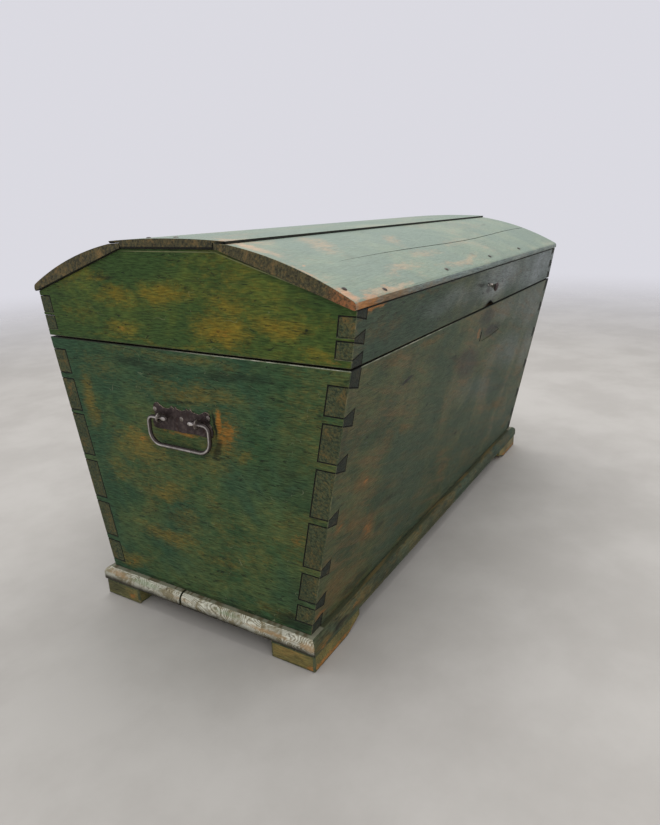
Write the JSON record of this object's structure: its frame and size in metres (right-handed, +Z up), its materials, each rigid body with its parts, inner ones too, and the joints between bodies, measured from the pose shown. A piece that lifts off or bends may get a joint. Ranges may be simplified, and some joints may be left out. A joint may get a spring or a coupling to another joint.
{
  "type": "trunk",
  "caption": "Painted pine trunk with dovetailed leaning sides, a hinged coffered lid, drop handles on the ends, an inside bolt lock and a plank floor on block feet.",
  "frame": {"origin": "on the floor under the middle of the whole trunk, its knob and its back eave included", "axes": "+X along the length, -Y out of the front with the keyhole, +Z up"},
  "size_m": [1.1382, 0.6508, 0.6673],
  "materials": {
    "green_paint": "worn deep green paint on pine, rubbed to ochre",
    "grey_green_paint": "worn grey-green paint on pine",
    "mint_paint": "faded pale blue-green paint on pine",
    "worn_plank": "worn pine with pale paint left in the grain",
    "olive_foot_paint": "worn olive paint on pine",
    "iron": "dark forged iron with rubbed edges",
    "rubbed_iron": "iron rubbed bright by use"
  },
  "bodies": {
    "chest": {"left_end_board": "green_paint", "right_end_board": "green_paint", "front_board": "grey_green_paint", "back_board": "grey_green_paint", "front_floor_plank": "worn_plank", "back_floor_plank": "worn_plank", "front_left_foot": "olive_foot_paint", "front_right_foot": "olive_foot_paint", "back_left_foot": "olive_foot_paint", "back_right_foot": "olive_foot_paint", "left_hinge_strap": "iron", "left_hinge_pin": "iron", "left_strap_nail_1": "iron", "left_strap_nail_2": "iron", "left_handle_plate": "iron", "left_handle_eye_1": "iron", "left_handle_eye_2": "iron", "left_plate_nail_1": "iron", "left_plate_nail_2": "iron", "left_plate_nail_3": "iron", "right_hinge_strap": "iron", "right_hinge_pin": "iron", "right_strap_nail_1": "iron", "right_strap_nail_2": "iron", "right_handle_plate": "iron", "right_handle_eye_1": "iron", "right_handle_eye_2": "iron", "right_plate_nail_1": "iron", "right_plate_nail_2": "iron", "right_plate_nail_3": "iron", "lock_case": "iron", "lock_nail_1": "iron", "lock_nail_2": "iron"},
    "lid": {"lid_front_rail": "grey_green_paint", "lid_back_rail": "grey_green_paint", "lid_left_gable": "green_paint", "lid_right_gable": "green_paint", "lid_front_slope_board": "mint_paint", "lid_top_board": "mint_paint", "lid_back_slope_board": "mint_paint", "lid_front_nail_1": "iron", "lid_front_nail_2": "iron", "lid_front_nail_3": "iron", "lid_front_nail_4": "iron", "lid_front_nail_5": "iron", "lid_top_nail_1": "iron", "lid_top_nail_2": "iron", "lid_knob": "rubbed_iron", "left_hinge_lid_leaf": "iron", "right_hinge_lid_leaf": "iron", "left_leaf_nail_1": "iron", "left_leaf_nail_2": "iron", "right_leaf_nail_1": "iron", "right_leaf_nail_2": "iron", "lock_staple": "iron"},
    "left_bail": {"left_bail": "iron"},
    "right_bail": {"right_bail": "iron"},
    "lock_bolt": {"lock_bolt": "rubbed_iron"}
  },
  "joints": [
    {"name": "lid_hinge", "type": "hinge", "parent": "chest", "child": "lid", "pos_m": [0, 0.31866, 0.4985], "axis": [-1, 0, 0], "range_deg": [0, 100]},
    {"name": "left_bail_swing", "type": "hinge", "parent": "chest", "child": "left_bail", "pos_m": [-0.5609, 0.01236, 0.386], "axis": [0, 1, 0], "range_deg": [-5, 175]},
    {"name": "right_bail_swing", "type": "hinge", "parent": "chest", "child": "right_bail", "pos_m": [0.5609, 0.01236, 0.386], "axis": [0, -1, 0], "range_deg": [-5, 175]},
    {"name": "lock_bolt_slide", "type": "slide", "parent": "chest", "child": "lock_bolt", "axis": [1, 0, 0], "range_m": [0, 0.016]}
  ]
}
